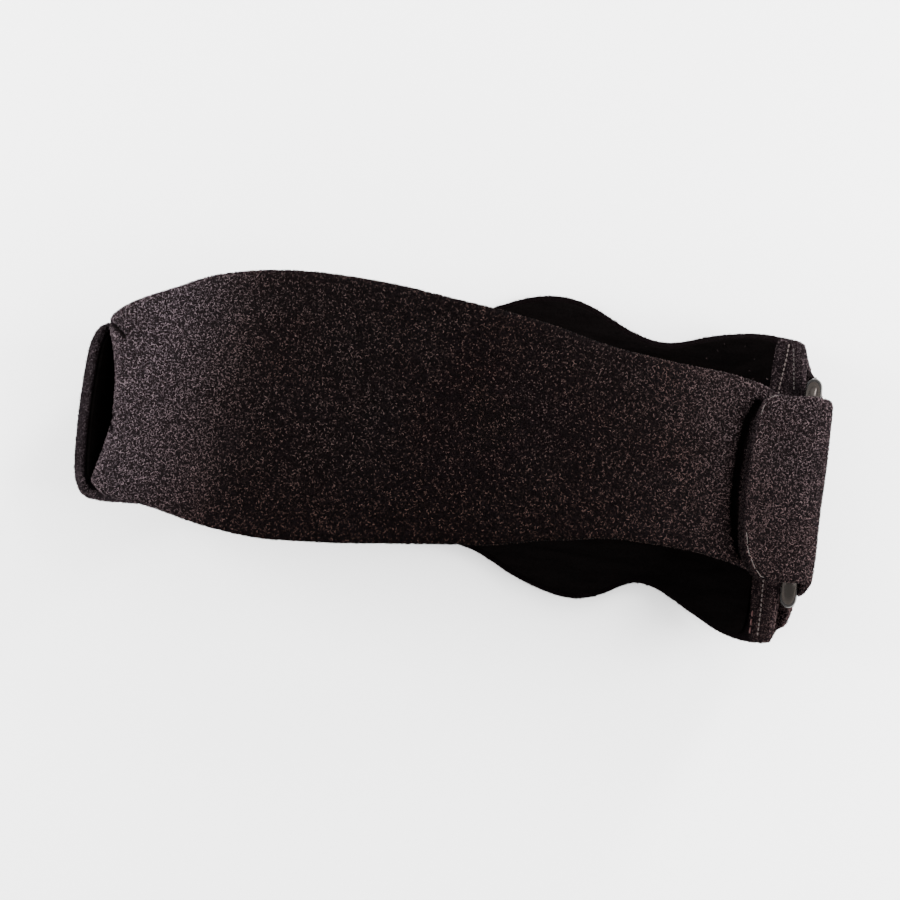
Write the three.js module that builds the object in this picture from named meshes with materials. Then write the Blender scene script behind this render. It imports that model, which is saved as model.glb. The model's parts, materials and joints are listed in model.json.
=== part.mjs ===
// Patella strap, closed into a loop and lying on its back. Sizes are in millimetres. X runs from
// the folded end of the strap to the ring, Y along the leg and Z up from the resting surface.
import * as THREE from 'three';

// Cloths and clearances
const LAMINATE = 3.0;          // brushed foam laminate of the strap
const SHELL = 2.0;             // brushed outer cloth of the panel
const LINING = 0.7;            // velour on the inner face of the panel
const TAB_CLOTH = 1.6;         // cloth folded round the ring
const HOOK = 1.0;              // hook patch under the closing end
const GAP = 0.3;               // between pieces that touch

// Contoured panel, from its sewn end on the right to its free end on the left
const PANEL_RISE = 41.0;       // highest point of the upper edge above the middle line
const PANEL_DROP = 37.5;       // lowest point of the lower edge below it
const FLAT_LENGTH = 108.6;     // stretch that lies on the surface
const RIGHT_BEND = 30;         // radius at the ring end
const LEFT_BEND = 27;          // radius at the folded end
const LEFT_TURN = 74;          // degrees turned at the folded end
const FREE_LENGTH = 19;        // straight stretch beyond the left bend
const PANEL_END_ANGLE = 60;    // degrees round the right bend where the panel stops
const PANEL_CORNER = 6.0;      // corner radius of the free end
const PANEL_BOW = 1.6;         // how far the middle of the free end bows outwards
const LINING_INSET = 1.3;      // bare edge of the panel round the lining

// Ring and its tab
const WIRE = 3.8;              // diameter of the ring's wire
const RING_INSIDE = 46.4;      // inside width of the ring, along Y
const RING_SPAN = 17.6;        // between the centres of its two long bars
const RING_CORNER = 4.6;       // centreline radius of its corners
const RING_LEAN = 98;          // degrees from X to the ring's plane
const BAR_ANGLE = 79;          // degrees round the right bend to the far bar
const HEM_ANGLE = 49.8;        // degrees round the right bend where the tab's hem starts
const SIDE_CLEARANCE = 1.7;    // between the cloth and each side of the ring

// Strap, from its sewn end inside the panel to its closing end
const STRAP_RISE = 37.1;       // highest point of the upper edge above the middle line
const STRAP_DROP = 25.5;       // lowest point of the lower edge below it
const STRAP_CROWN = 2.0;       // how far the middle of the strap stands proud of its edges
const SEWN_START = 25;         // degrees round the left bend where the sewn end starts
const SEWN_END = 72;           // degrees round the left bend where the strap leaves the panel
const FOLD_RADIUS = 5.0;       // centreline radius of the left fold
const FOLD_GAP = 2.1;          // open gap between the free end of the panel and the fold
const FOLD_DROP = 1.6;         // centre of the fold below the top of the panel's free end
const ARCH_RISE = 10.8;        // crest of the strap above a straight line from fold to ring
const CLOSING_LENGTH = 13.7;   // closing end, from the near bar of the ring back to its tip
const CLOSING_LIFT = 1.9;      // tip of the closing end above the top of the wrap
const CLOSING_ROUND = 5.0;     // length of the rounded tip
const HOOK_INSET = 3.0;        // hook patch inside the edges of the closing end
const HOOK_LENGTH = 9.5;

// Height of each edge along the panel, right to left, in shares of PANEL_RISE and PANEL_DROP.
// Bow is a share of PANEL_BOW.
const PANEL_OUTLINE = [
  { share: 0.00, rise: 0.888, drop: 0.990, bow: 0 },
  { share: 0.04, rise: 0.905, drop: 1.000, bow: 0 },
  { share: 0.075, rise: 0.917, drop: 0.971, bow: 0 },
  { share: 0.10, rise: 0.902, drop: 0.912, bow: 0 },
  { share: 0.13, rise: 0.878, drop: 0.835, bow: 0 },
  { share: 0.155, rise: 0.837, drop: 0.757, bow: 0 },
  { share: 0.18, rise: 0.802, drop: 0.718, bow: 0 },
  { share: 0.195, rise: 0.797, drop: 0.715, bow: 0 },
  { share: 0.21, rise: 0.806, drop: 0.750, bow: 0 },
  { share: 0.23, rise: 0.832, drop: 0.818, bow: 0 },
  { share: 0.255, rise: 0.885, drop: 0.864, bow: 0 },
  { share: 0.28, rise: 0.946, drop: 0.872, bow: 0 },
  { share: 0.305, rise: 0.986, drop: 0.845, bow: 0 },
  { share: 0.33, rise: 1.000, drop: 0.805, bow: 0 },
  { share: 0.355, rise: 0.988, drop: 0.752, bow: 0 },
  { share: 0.38, rise: 0.951, drop: 0.680, bow: 0 },
  { share: 0.41, rise: 0.888, drop: 0.621, bow: 0 },
  { share: 0.45, rise: 0.805, drop: 0.590, bow: 0 },
  { share: 0.55, rise: 0.683, drop: 0.587, bow: 0 },
  { share: 0.72, rise: 0.585, drop: 0.590, bow: 0 },
  { share: 0.90, rise: 0.507, drop: 0.595, bow: 0 },
  { share: 0.95, rise: 0.495, drop: 0.585, bow: 0.5 },
  { share: 1.00, rise: 0.488, drop: 0.573, bow: 1 },
];

// Height of each edge along the strap, sewn end to closing end. Rise and drop are shares of
// STRAP_RISE and STRAP_DROP, or of the width that passes the ring where ring is 1.
const STRAP_OUTLINE = [
  { share: 0.00, rise: 0.52, drop: 0.66, ring: 0, crown: 0 },
  { share: 0.10, rise: 0.52, drop: 0.66, ring: 0, crown: 0 },
  { share: 0.14, rise: 0.55, drop: 0.66, ring: 0, crown: -0.25 },
  { share: 0.165, rise: 0.59, drop: 0.69, ring: 0, crown: -0.80 },
  { share: 0.185, rise: 0.665, drop: 0.775, ring: 0, crown: -0.40 },
  { share: 0.20, rise: 0.728, drop: 0.812, ring: 0, crown: -0.10 },
  { share: 0.215, rise: 0.782, drop: 0.830, ring: 0, crown: 0.15 },
  { share: 0.25, rise: 0.884, drop: 0.902, ring: 0, crown: 0.55 },
  { share: 0.29, rise: 0.954, drop: 0.976, ring: 0, crown: 0.80 },
  { share: 0.33, rise: 0.986, drop: 1.000, ring: 0, crown: 0.95 },
  { share: 0.37, rise: 1.000, drop: 0.996, ring: 0, crown: 1.00 },
  { share: 0.45, rise: 0.978, drop: 0.929, ring: 0, crown: 1.00 },
  { share: 0.53, rise: 0.916, drop: 0.847, ring: 0, crown: 0.95 },
  { share: 0.57, rise: 0.890, drop: 0.812, ring: 0, crown: 0.85 },
  { share: 0.60, rise: 0.854, drop: 0.761, ring: 0, crown: 0.75 },
  { share: 0.63, rise: 0.814, drop: 0.698, ring: 0, crown: 0.65 },
  { share: 0.66, rise: 0.774, drop: 0.660, ring: 0, crown: 0.55 },
  { share: 0.69, rise: 0.741, drop: 0.622, ring: 0, crown: 0.50 },
  { share: 0.72, rise: 0.722, drop: 0.612, ring: 0, crown: 0.45 },
  { share: 0.75, rise: 0.706, drop: 0.627, ring: 0, crown: 0.35 },
  { share: 0.78, rise: 0.695, drop: 0.647, ring: 0, crown: 0.25 },
  { share: 0.81, rise: 0.679, drop: 0.686, ring: 0, crown: 0.15 },
  { share: 0.83, rise: 0.655, drop: 0.714, ring: 0, crown: 0.05 },
  { share: 0.855, rise: 1.025, drop: 0.960, ring: 1, crown: 0 },
  { share: 0.875, rise: 0.995, drop: 0.980, ring: 1, crown: 0 },
  { share: 0.915, rise: 0.970, drop: 0.955, ring: 1, crown: 0 },
  { share: 0.945, rise: 1.010, drop: 0.980, ring: 1, crown: 0 },
  { share: 1.00, rise: 1.015, drop: 0.975, ring: 1, crown: 0 },
];

// Height of each edge along the tab, from the inner hem over the far bar to the outer hem. Spread
// is 0 at the width that fits in the ring and 1 at the end of the panel.
const TAB_OUTLINE = [
  { share: 0.00, rise: 1.00, drop: 1.00 },
  { share: 0.11, rise: 0.97, drop: 0.99 },
  { share: 0.15, rise: 0.80, drop: 0.80 },
  { share: 0.20, rise: 0.58, drop: 0.74 },
  { share: 0.26, rise: 0.40, drop: 0.64 },
  { share: 0.31, rise: 0.12, drop: 0.26 },
  { share: 0.35, rise: 0.00, drop: 0.00 },
  { share: 0.65, rise: 0.00, drop: 0.00 },
  { share: 0.69, rise: 0.12, drop: 0.26 },
  { share: 0.74, rise: 0.40, drop: 0.64 },
  { share: 0.80, rise: 0.58, drop: 0.74 },
  { share: 0.85, rise: 0.80, drop: 0.80 },
  { share: 0.89, rise: 0.97, drop: 0.99 },
  { share: 1.00, rise: 1.00, drop: 1.00 },
];

// Course of the strap between the fold and the near bar: along is a share of that distance and
// height a share of ARCH_RISE.
const ARCH = [
  { along: 0.10, height: 0.27 },
  { along: 0.26, height: 0.71 },
  { along: 0.48, height: 1.00 },
  { along: 0.68, height: 0.92 },
  { along: 0.82, height: 0.66 },
  { along: 0.925, height: 0.32 },
];

// Course of the closing end: along is a share of CLOSING_LENGTH and lift one of CLOSING_LIFT.
const CLOSING_COURSE = [
  { along: 0.42, lift: 0.10 },
  { along: 0.73, lift: 0.38 },
  { along: 1.00, lift: 1.00 },
];

const { degToRad, lerp } = THREE.MathUtils;

// Value of one column of a table at a share, on a smooth curve through its rows.
function column(table, name, share) {
  const last = table.length - 1;
  let row = 0;
  while (row < last - 1 && share > table[row + 1].share) row += 1;
  const slope = (i) => {
    const before = table[Math.max(i - 1, 0)];
    const after = table[Math.min(i + 1, last)];
    return (after[name] - before[name]) / (after.share - before.share);
  };
  const start = table[row];
  const end = table[row + 1];
  const span = end.share - start.share;
  const t = (share - start.share) / span;
  const hump = t * (1 - t);
  const ease = t * t * (3 - 2 * t);
  const bend = hump * ((1 - t) * slope(row) - t * slope(row + 1)) * span;
  return lerp(start[name], end[name], ease) + bend;
}

// Closed skin through rings of points, all with the same count. An open skin gets flat ends.
function skin(rings, closed) {
  const count = rings[0].length;
  const index = [];
  const spans = closed ? rings.length : rings.length - 1;
  for (let i = 0; i < spans; i += 1) {
    const next = (i + 1) % rings.length;
    for (let j = 0; j < count; j += 1) {
      const k = (j + 1) % count;
      const a = i * count + j;
      const b = i * count + k;
      const c = next * count + k;
      const d = next * count + j;
      index.push(a, c, b, a, d, c);
    }
  }
  if (!closed) {
    const first = cap(count);
    const offset = (rings.length - 1) * count;
    for (const [a, b, c] of first) {
      index.push(a, b, c, offset + a, offset + c, offset + b);
    }
  }
  const geometry = new THREE.BufferGeometry().setFromPoints(rings.flat());
  geometry.setIndex(index);
  geometry.computeVertexNormals();
  return geometry;
}

// Flat end of a band's ring: strips between its outer and its inner side, point by point.
function cap(count) {
  const triangles = [];
  for (let low = 0, high = count - 1; high - low > 1; low += 1, high -= 1) {
    triangles.push([low, low + 1, high]);
    if (high - low > 2) triangles.push([low + 1, high - 1, high]);
  }
  return triangles;
}

// Section of a band: points over the outer side, round one edge, back over the inner side and
// round the other edge. Across runs from -1 to 1 between the edges and depth through the cloth.
function bandSection(low, high, thickness, across, edgeSteps) {
  const round = Math.min(thickness / 2, (high - low) / 2.2);
  const points = [];
  for (let i = 0; i <= across; i += 1) {
    points.push([lerp(low + round, high - round, i / across), thickness / 2]);
  }
  for (let i = 1; i < edgeSteps; i += 1) {
    const angle = Math.PI * (0.5 - i / edgeSteps);
    points.push([high - round + round * Math.cos(angle), thickness / 2 * Math.sin(angle)]);
  }
  for (let i = across; i >= 0; i -= 1) {
    points.push([lerp(low + round, high - round, i / across), -thickness / 2]);
  }
  for (let i = 1; i < edgeSteps; i += 1) {
    const angle = Math.PI * (0.5 - i / edgeSteps);
    points.push([low + round - round * Math.cos(angle), -thickness / 2 * Math.sin(angle)]);
  }
  return points;
}

// Share of a band's half width that is left at a distance from a rounded end.
function roundedEnd(distance, end) {
  if (!end || distance >= end.along) return 0;
  return 1 - (1 - (1 - distance / end.along) ** end.power) ** (1 / end.power);
}

// Cloth band along a route in the XZ plane. edges(share) gives its low and high edge and its bow;
// lift moves it off the route, towards the outside of the loop.
function band({ route, edges, thickness, lift = 0, shares, across = 6, edgeSteps = 4, ends = {} }) {
  const length = route.getLength();
  const first = shares[0];
  const last = shares[shares.length - 1];
  const rings = shares.map((share) => {
    const point = route.getPointAt(share);
    const along = route.getTangentAt(share);
    const { low, high, bow } = edges(share);
    const middle = (low + high) / 2;
    const half = (high - low) / 2;
    const fromStart = roundedEnd((share - first) * length, ends.start);
    const fromEnd = roundedEnd((last - share) * length, ends.end);
    const inset = Math.min(half * 0.7, Math.max(
      fromStart * (ends.start ? Math.min(ends.start.across, half) : 0),
      fromEnd * (ends.end ? Math.min(ends.end.across, half) : 0),
    ));
    const section = bandSection(low + inset, high - inset, thickness, across, edgeSteps);
    return section.map(([y, depth]) => {
      const proud = 1 - Math.min(1, Math.abs((y - middle) / half)) ** 2.5;
      const out = depth + lift + bow * proud;
      return new THREE.Vector3(point.x - along.y * out, y, point.y + along.x * out);
    });
  });
  return skin(rings, false);
}

// Stations along a band: even steps between the shares of a short list, and closer ones over the
// rounded ends.
function stations(spans, length, ends = {}) {
  const shares = [];
  for (let i = 0; i < spans.length - 1; i += 1) {
    const from = spans[i].share;
    const to = spans[i + 1].share;
    for (let step = 0; step < spans[i].steps; step += 1) {
      shares.push(lerp(from, to, step / spans[i].steps));
    }
  }
  const first = spans[0].share;
  const last = spans[spans.length - 1].share;
  shares.push(last);
  const close = [0.04, 0.14, 0.3, 0.55];
  const startReach = ends.start ? ends.start.along / length : 0;
  const endReach = ends.end ? ends.end.along / length : 0;
  const kept = shares.filter((share) => share === first || share === last
    || (share - first > startReach * 0.8 && last - share > endReach * 0.8));
  if (ends.start) kept.push(...close.map((share) => first + share * startReach));
  if (ends.end) kept.push(...close.map((share) => last - share * endReach));
  return kept.sort((a, b) => a - b);
}

function mesh(name, geometry, color, roughness, metalness = 0) {
  const material = new THREE.MeshStandardMaterial({ color, roughness, metalness });
  const piece = new THREE.Mesh(geometry, material);
  piece.name = name;
  return piece;
}

// Points of the XZ plane, with the height as y
const rightCentre = new THREE.Vector2(FLAT_LENGTH / 2, SHELL / 2 + RIGHT_BEND);
const leftCentre = new THREE.Vector2(-FLAT_LENGTH / 2, SHELL / 2 + LEFT_BEND);

// Point round a bend, by degrees from straight below its centre; positive runs to the right.
function round(centre, radius, degrees) {
  const angle = degToRad(degrees);
  return new THREE.Vector2(centre.x + radius * Math.sin(angle), centre.y - radius * Math.cos(angle));
}

function flatRoute(points) {
  const course = points.map((point) => new THREE.Vector3(point.x, point.y, 0));
  const route = new THREE.CatmullRomCurve3(course, false, 'centripetal');
  route.arcLengthDivisions = 1000;
  return route;
}

// Route of the panel's outer cloth, right end to left end
const leftTangent = new THREE.Vector2(
  -Math.cos(degToRad(LEFT_TURN)), Math.sin(degToRad(LEFT_TURN)));
const panelLeftEnd = round(leftCentre, LEFT_BEND, -LEFT_TURN)
  .addScaledVector(leftTangent, FREE_LENGTH);
const panelRoute = new THREE.Path();
panelRoute.absarc(rightCentre.x, rightCentre.y, RIGHT_BEND,
  degToRad(PANEL_END_ANGLE - 90), degToRad(-90), true);
panelRoute.lineTo(leftCentre.x, SHELL / 2);
panelRoute.absarc(leftCentre.x, leftCentre.y, LEFT_BEND,
  degToRad(-90), degToRad(-90 - LEFT_TURN), true);
panelRoute.lineTo(panelLeftEnd.x, panelLeftEnd.y);
const panelLength = panelRoute.getLength();

function panelEdges(share, inset = 0) {
  return {
    low: inset - PANEL_DROP * column(PANEL_OUTLINE, 'drop', share),
    high: PANEL_RISE * column(PANEL_OUTLINE, 'rise', share) - inset,
    bow: PANEL_BOW * column(PANEL_OUTLINE, 'bow', share),
  };
}

const rightBendShare = RIGHT_BEND * degToRad(PANEL_END_ANGLE) / panelLength;
const leftBendShare = rightBendShare + FLAT_LENGTH / panelLength;
const freeShare = 1 - FREE_LENGTH / panelLength;
const waistShare = PANEL_OUTLINE[7].share;

function contouredPanel() {
  const ends = { end: { along: PANEL_CORNER, across: PANEL_CORNER, power: 2 } };
  const shares = stations([
    { share: 0, steps: 8 },
    { share: rightBendShare, steps: 2 },
    { share: waistShare, steps: 15 },
    { share: 0.45, steps: 5 },
    { share: leftBendShare, steps: 7 },
    { share: freeShare, steps: 5 },
    { share: 1 },
  ], panelLength, ends);
  return band({ route: panelRoute, edges: panelEdges, thickness: SHELL, shares, ends });
}

const liningLift = -(SHELL / 2 + GAP + LINING / 2);
const hemShare = RIGHT_BEND * degToRad(PANEL_END_ANGLE - HEM_ANGLE) / panelLength;

function panelLining() {
  const from = hemShare + GAP / panelLength;
  const to = 1 - LINING_INSET / panelLength;
  const corner = PANEL_CORNER - LINING_INSET / 2;
  const ends = { end: { along: corner, across: corner, power: 2 } };
  const shares = stations([
    { share: from, steps: 6 },
    { share: rightBendShare, steps: 2 },
    { share: waistShare, steps: 15 },
    { share: 0.45, steps: 5 },
    { share: leftBendShare, steps: 7 },
    { share: freeShare, steps: 5 },
    { share: to },
  ], panelLength, ends);
  return band({
    route: panelRoute,
    edges: (share) => panelEdges(share, LINING_INSET),
    thickness: LINING,
    lift: liningLift,
    shares,
    ends,
    across: 4,
    edgeSteps: 2,
  });
}

// Ring: a rounded rectangle of wire between the far bar in the tab and the near bar in the strap
const farBar = round(rightCentre, RIGHT_BEND, BAR_ANGLE);
const ringUp = new THREE.Vector2(Math.cos(degToRad(RING_LEAN)), Math.sin(degToRad(RING_LEAN)));
const nearBar = farBar.clone().addScaledVector(ringUp, RING_SPAN);
const ringFit = RING_INSIDE / 2 - SIDE_CLEARANCE;

function ringWire() {
  const cornerSteps = 4;
  const sides = 10;
  const halfWidth = (RING_INSIDE + WIRE) / 2 - RING_CORNER;
  const halfSpan = RING_SPAN / 2 - RING_CORNER;
  const centre = farBar.clone().lerp(nearBar, 0.5);
  const up = new THREE.Vector3(ringUp.x, 0, ringUp.y);
  const side = new THREE.Vector3(0, 1, 0);
  const face = new THREE.Vector3().crossVectors(side, up);
  const rings = [];
  for (let corner = 0; corner < 4; corner += 1) {
    const signSide = corner === 0 || corner === 3 ? 1 : -1;
    const signUp = corner < 2 ? 1 : -1;
    for (let step = 0; step <= cornerSteps; step += 1) {
      const angle = (corner + step / cornerSteps) * Math.PI / 2;
      const away = side.clone().multiplyScalar(Math.cos(angle))
        .addScaledVector(up, Math.sin(angle));
      const point = new THREE.Vector3(centre.x, 0, centre.y)
        .addScaledVector(side, signSide * halfWidth)
        .addScaledVector(up, signUp * halfSpan)
        .addScaledVector(away, RING_CORNER);
      const ring = [];
      for (let k = 0; k < sides; k += 1) {
        const turn = 2 * Math.PI * k / sides;
        ring.push(point.clone()
          .addScaledVector(away, WIRE / 2 * Math.cos(turn))
          .addScaledVector(face, WIRE / 2 * Math.sin(turn)));
      }
      rings.push(ring);
    }
  }
  return skin(rings, true);
}

// Tab: one cloth folded round the far bar, its two hems on both faces of the panel's end
const seamLift = SHELL / 2 + GAP + TAB_CLOTH / 2;
const barLift = WIRE / 2 + GAP + TAB_CLOTH / 2;
const panelEnd = panelEdges(0);

function tabRoute() {
  const steps = 6;
  const inner = [];
  const outer = [];
  for (let i = 0; i <= steps; i += 1) {
    const share = i / steps;
    const angle = lerp(HEM_ANGLE, BAR_ANGLE, share);
    const lift = lerp(seamLift, barLift, THREE.MathUtils.smoothstep(share, 0.35, 1));
    inner.push(round(rightCentre, RIGHT_BEND - lift, angle));
    outer.unshift(round(rightCentre, RIGHT_BEND + lift, angle));
  }
  const over = [];
  const barSteps = 6;
  for (let i = 1; i < barSteps; i += 1) {
    const angle = degToRad(BAR_ANGLE + 90 - 180 * i / barSteps);
    over.push(new THREE.Vector2(
      farBar.x + barLift * Math.cos(angle), farBar.y + barLift * Math.sin(angle)));
  }
  return flatRoute([...inner, ...over, ...outer]);
}

function ringTab() {
  const route = tabRoute();
  const edges = (share) => ({
    low: -lerp(ringFit, -panelEnd.low, column(TAB_OUTLINE, 'drop', share)),
    high: lerp(ringFit, panelEnd.high, column(TAB_OUTLINE, 'rise', share)),
    bow: 0,
  });
  const shares = stations([
    { share: 0, steps: 12 },
    { share: 0.36, steps: 8 },
    { share: 0.64, steps: 12 },
    { share: 1 },
  ], route.getLength());
  return band({ route, edges, thickness: TAB_CLOTH, shares, across: 4, edgeSteps: 3 });
}

// Strap: sewn inside the panel, folded over at the left, arched over the loop, through the ring
// and back on itself
const innerFace = SHELL / 2 + GAP + LINING;
const wrapRadius = WIRE / 2 + GAP + LAMINATE / 2;
const foldCentre = new THREE.Vector2(
  panelLeftEnd.x + innerFace + FOLD_GAP + LAMINATE / 2 + FOLD_RADIUS,
  panelLeftEnd.y - FOLD_DROP);

function strapRoute() {
  const sewnRadius = LEFT_BEND - innerFace - GAP - LAMINATE / 2;
  const points = [];
  const sewnSteps = 4;
  for (let i = 0; i <= sewnSteps; i += 1) {
    points.push(round(leftCentre, sewnRadius, -lerp(SEWN_START, SEWN_END, i / sewnSteps)));
  }
  const foldSteps = 3;
  const foldPoints = [];
  for (let i = 0; i <= foldSteps; i += 1) {
    const angle = degToRad(lerp(180, 102, i / foldSteps));
    foldPoints.push(new THREE.Vector2(
      foldCentre.x + FOLD_RADIUS * Math.cos(angle), foldCentre.y + FOLD_RADIUS * Math.sin(angle)));
  }
  const sewnTop = points[sewnSteps];
  const rise = sewnTop.clone().lerp(foldPoints[0], 0.55);
  rise.x += FOLD_GAP / 10;
  points.push(rise, ...foldPoints);
  const from = foldPoints[foldSteps];
  const under = new THREE.Vector2(nearBar.x, nearBar.y - wrapRadius);
  for (const { along, height } of ARCH) {
    const point = from.clone().lerp(under, along);
    point.y += height * ARCH_RISE;
    points.push(point);
  }
  const wrapSteps = 6;
  for (let i = 0; i <= wrapSteps; i += 1) {
    const angle = degToRad(lerp(-96, 94, i / wrapSteps));
    points.push(new THREE.Vector2(
      nearBar.x + wrapRadius * Math.cos(angle), nearBar.y + wrapRadius * Math.sin(angle)));
  }
  for (const { along, lift } of CLOSING_COURSE) {
    points.push(new THREE.Vector2(
      nearBar.x - along * CLOSING_LENGTH, nearBar.y + wrapRadius + lift * CLOSING_LIFT));
  }
  return flatRoute(points);
}

// The strap's outline in millimetres, row by row
const strapRows = STRAP_OUTLINE.map(({ share, rise, drop, ring, crown }) => ({
  share,
  high: rise * lerp(STRAP_RISE, ringFit, ring),
  low: -drop * lerp(STRAP_DROP, ringFit, ring),
  bow: crown * STRAP_CROWN,
}));

function strapEdges(share, inset = 0) {
  return {
    low: column(strapRows, 'low', share) + inset,
    high: column(strapRows, 'high', share) - inset,
    bow: column(strapRows, 'bow', share),
  };
}

const strapCourse = strapRoute();
const strapLength = strapCourse.getLength();

function frontStrap() {
  const ends = {
    start: { along: PANEL_CORNER, across: PANEL_CORNER, power: 2 },
    end: { along: CLOSING_ROUND, across: ringFit, power: 2.6 },
  };
  const shares = stations([
    { share: 0, steps: 5 },
    { share: 0.10, steps: 3 },
    { share: 0.15, steps: 8 },
    { share: 0.20, steps: 26 },
    { share: 0.83, steps: 3 },
    { share: 0.87, steps: 12 },
    { share: 0.945, steps: 6 },
    { share: 1 },
  ], strapLength, ends);
  return band({ route: strapCourse, edges: strapEdges, thickness: LAMINATE, shares, ends });
}

function hookPatch() {
  const to = 1 - HOOK_INSET / 2 / strapLength;
  const from = to - HOOK_LENGTH / strapLength;
  const ends = { end: { along: CLOSING_ROUND - HOOK_INSET / 2, across: ringFit, power: 2.6 } };
  const shares = stations([{ share: from, steps: 5 }, { share: to }], strapLength, ends);
  return band({
    route: strapCourse,
    edges: (share) => strapEdges(share, HOOK_INSET),
    thickness: HOOK,
    lift: LAMINATE / 2 + GAP + HOOK / 2,
    shares,
    ends,
    across: 4,
    edgeSteps: 2,
  });
}

const loop = new THREE.Group();
loop.add(
  mesh('front_strap', frontStrap(), 0x1d1719, 0.95),
  mesh('contoured_panel', contouredPanel(), 0x1a1516, 0.95),
  mesh('panel_lining', panelLining(), 0x060506, 0.9),
  mesh('ring_tab', ringTab(), 0x1b1617, 0.95),
  mesh('ring', ringWire(), 0x35363a, 0.4, 0.85),
  mesh('hook_patch', hookPatch(), 0x0c0c0d, 0.8),
);

// The origin lies on the resting surface, under the middle of the whole loop.
const box = new THREE.Box3().setFromObject(loop);
const middle = box.getCenter(new THREE.Vector3());
loop.position.set(-middle.x, -middle.y, -box.min.z);

const assembly = new THREE.Group();
assembly.add(loop);
assembly.updateMatrixWorld(true);

export default assembly;
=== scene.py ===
"""Looks of a patella strap, closed into a loop and lying on its back.

X runs from the folded end of the strap to the ring, Y along the leg and Z up, all in metres.
"""

import json
import math

import bpy
import numpy as np
from bpy.props import FloatProperty, FloatVectorProperty, PointerProperty
from mathutils import Matrix, Vector
from mathutils.bvhtree import BVHTree

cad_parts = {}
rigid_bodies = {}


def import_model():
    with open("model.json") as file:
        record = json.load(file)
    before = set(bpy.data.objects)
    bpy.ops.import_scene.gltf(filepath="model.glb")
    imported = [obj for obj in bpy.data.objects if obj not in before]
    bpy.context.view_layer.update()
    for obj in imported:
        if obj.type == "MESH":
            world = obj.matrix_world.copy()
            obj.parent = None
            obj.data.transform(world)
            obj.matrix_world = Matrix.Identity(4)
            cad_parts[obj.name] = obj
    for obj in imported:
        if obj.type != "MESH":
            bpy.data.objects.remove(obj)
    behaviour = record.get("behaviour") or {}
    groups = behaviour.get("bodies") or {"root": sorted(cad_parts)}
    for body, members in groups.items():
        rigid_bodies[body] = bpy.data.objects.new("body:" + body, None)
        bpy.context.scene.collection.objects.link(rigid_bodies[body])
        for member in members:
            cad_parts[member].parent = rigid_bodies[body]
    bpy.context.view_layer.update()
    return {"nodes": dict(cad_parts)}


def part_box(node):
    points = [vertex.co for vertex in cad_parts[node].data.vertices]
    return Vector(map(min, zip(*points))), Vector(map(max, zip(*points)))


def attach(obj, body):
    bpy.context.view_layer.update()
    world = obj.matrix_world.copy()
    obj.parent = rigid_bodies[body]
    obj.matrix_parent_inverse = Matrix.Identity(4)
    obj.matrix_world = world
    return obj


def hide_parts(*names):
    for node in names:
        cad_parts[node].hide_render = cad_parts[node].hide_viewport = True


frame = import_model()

bl_info = {
    "name": "Patella Strap",
    "version": (1, 0, 0),
    "blender": (4, 5, 0),
    "location": "View3D > Sidebar > Patella Strap",
    "description": "Dresses a closed patella strap: brushed cloths, velour, ring and stitching",
    "category": "Object",
}

MM = 0.001
BACK = 0.25 * MM           # the brushed back of the panel is pressed this much where it rests
# Black of the painted shade
SHADE_BLACK = (0.001, 0.0008, 0.0008)

# View of the photograph: the point under its centre, its turn in degrees and its focal length
PICTURE_CENTRE = (-0.45 * MM, -1.75 * MM)
PICTURE_TURN = 7.0
PICTURE_WIDTH = 900
FOCAL_PIXELS = 2940
SENSOR = 36.0

# Studio: lights with their place, width, height and power, and the even light around them
LIGHTS = [
    {"name": "left_softbox", "place": (-0.50, 0.06, 0.20), "size": (0.30, 0.30), "power": 9.5},
    {"name": "right_softbox", "place": (0.46, 0.05, 0.22), "size": (0.26, 0.26), "power": 7.2},
    {"name": "upper_softbox", "place": (-0.10, 0.80, 0.50), "size": (0.70, 0.70), "power": 5.0},
    {"name": "key_strip", "place": (0.20, 0.12, 0.60), "size": (0.50, 0.05), "power": 2.4},
    {"name": "ring_kicker", "place": (0.43, 0.74, 0.42), "size": (0.16, 0.55), "power": 15.0},
]
SURROUND_LIGHT = 2.0
FLOOR_WIDTH = 6.0


# Settings


def length_setting(name, description, default, least):
    """A length in metres, for a group of settings."""
    return FloatProperty(
        name=name, description=description, default=default, min=least, unit="LENGTH")


def colour_setting(name, description, default):
    """A colour, for a group of settings."""
    return FloatVectorProperty(
        name=name, description=description, default=default, size=3, subtype="COLOR", min=0, max=1)


class StrapSizes(bpy.types.PropertyGroup):
    """Sizes of the cloths, threads and pile."""

    loop_reach: length_setting("Loop reach", "Length of one curl of the pile", 0.62 * MM, 0.2 * MM)
    loop_rise: length_setting("Loop rise", "Height of a curl above the cloth", 0.22 * MM, 0.05 * MM)
    loop_yarn: length_setting("Loop yarn", "Thickness of the yarn of a curl", 0.165 * MM, 0.02 * MM)
    pile_density: FloatProperty(
        name="Pile density", description="Curls on a square millimetre of the outer faces",
        default=6.2, min=0.1)
    thread: length_setting("Thread", "Diameter of the sewing thread", 0.36 * MM, 0.1 * MM)
    stitch: length_setting("Stitch", "Length of one stitch", 2.1 * MM, 0.5 * MM)
    ring_wire: length_setting("Ring wire", "Diameter of the ring's wire", 3.8 * MM, 1.0 * MM)
    ring_corner: length_setting(
        "Ring corner", "Centreline radius of the ring's corners", 4.6 * MM, 2.0 * MM)
    camera_height: length_setting(
        "Camera height", "Height of the camera above the floor", 0.725, 0.2)


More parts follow.
